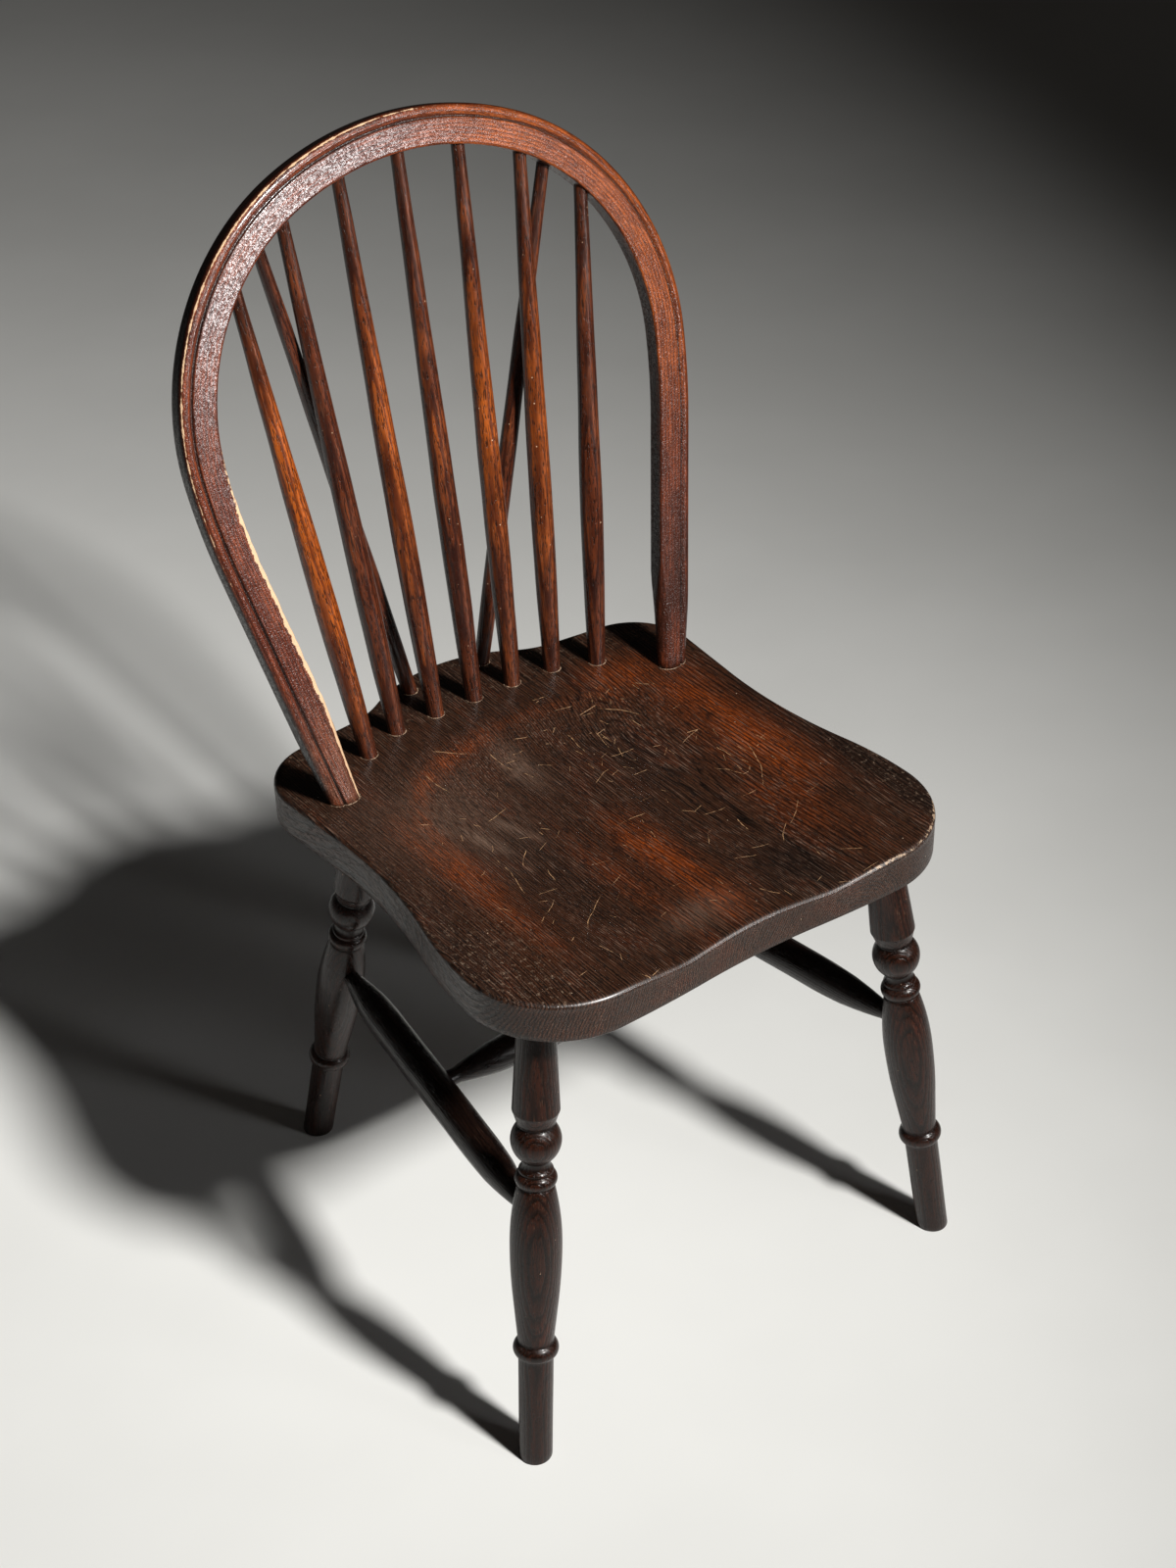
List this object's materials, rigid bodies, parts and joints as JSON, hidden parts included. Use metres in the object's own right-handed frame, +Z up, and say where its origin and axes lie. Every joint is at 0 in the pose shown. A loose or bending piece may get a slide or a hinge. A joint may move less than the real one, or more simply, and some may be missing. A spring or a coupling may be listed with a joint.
{
  "type": "wheelback chair",
  "caption": "Hoop-back wooden side chair with a saddled seat, tapered back sticks braced from behind, turned splayed legs and H-shaped stretchers, in a dark rubbed stain",
  "frame": {"origin": "on the floor below the middle of the chair's outer size", "axes": "+Z up, +Y towards the chair's back, +X towards the viewer's right when looking at the front of the chair"},
  "size_m": [0.4532, 0.4589, 0.9175],
  "materials": {
    "seat_wood": "dark oil-and-wax stain over open-grained hardwood, worn glossy, rubbed reddish where people sit, fine scratches",
    "hoop_wood": "dark stained steam-bent hardwood under crazed glossy varnish, worn pale along the arrises",
    "stick_wood": "reddish brown stained turned hardwood, satin to glossy",
    "leg_wood": "dark brown stained turned hardwood with open grain, satin",
    "stretcher_wood": "dark brown stained turned hardwood with open grain, satin",
    "wedge_wood": "plain hardwood end grain, stained with the rest"
  },
  "bodies": {
    "root": {"seat": "seat_wood", "hoop": "hoop_wood", "stick_1": "stick_wood", "stick_2": "stick_wood", "stick_3": "stick_wood", "stick_4": "stick_wood", "stick_5": "stick_wood", "stick_6": "stick_wood", "stick_7": "stick_wood", "brace_left": "stick_wood", "brace_right": "stick_wood", "leg_front_left": "leg_wood", "leg_front_right": "leg_wood", "leg_rear_left": "leg_wood", "leg_rear_right": "leg_wood", "side_stretcher_left": "stretcher_wood", "side_stretcher_right": "stretcher_wood", "cross_stretcher": "stretcher_wood", "hoop_wedge_left": "wedge_wood", "hoop_wedge_right": "wedge_wood"}
  },
  "joints": []
}
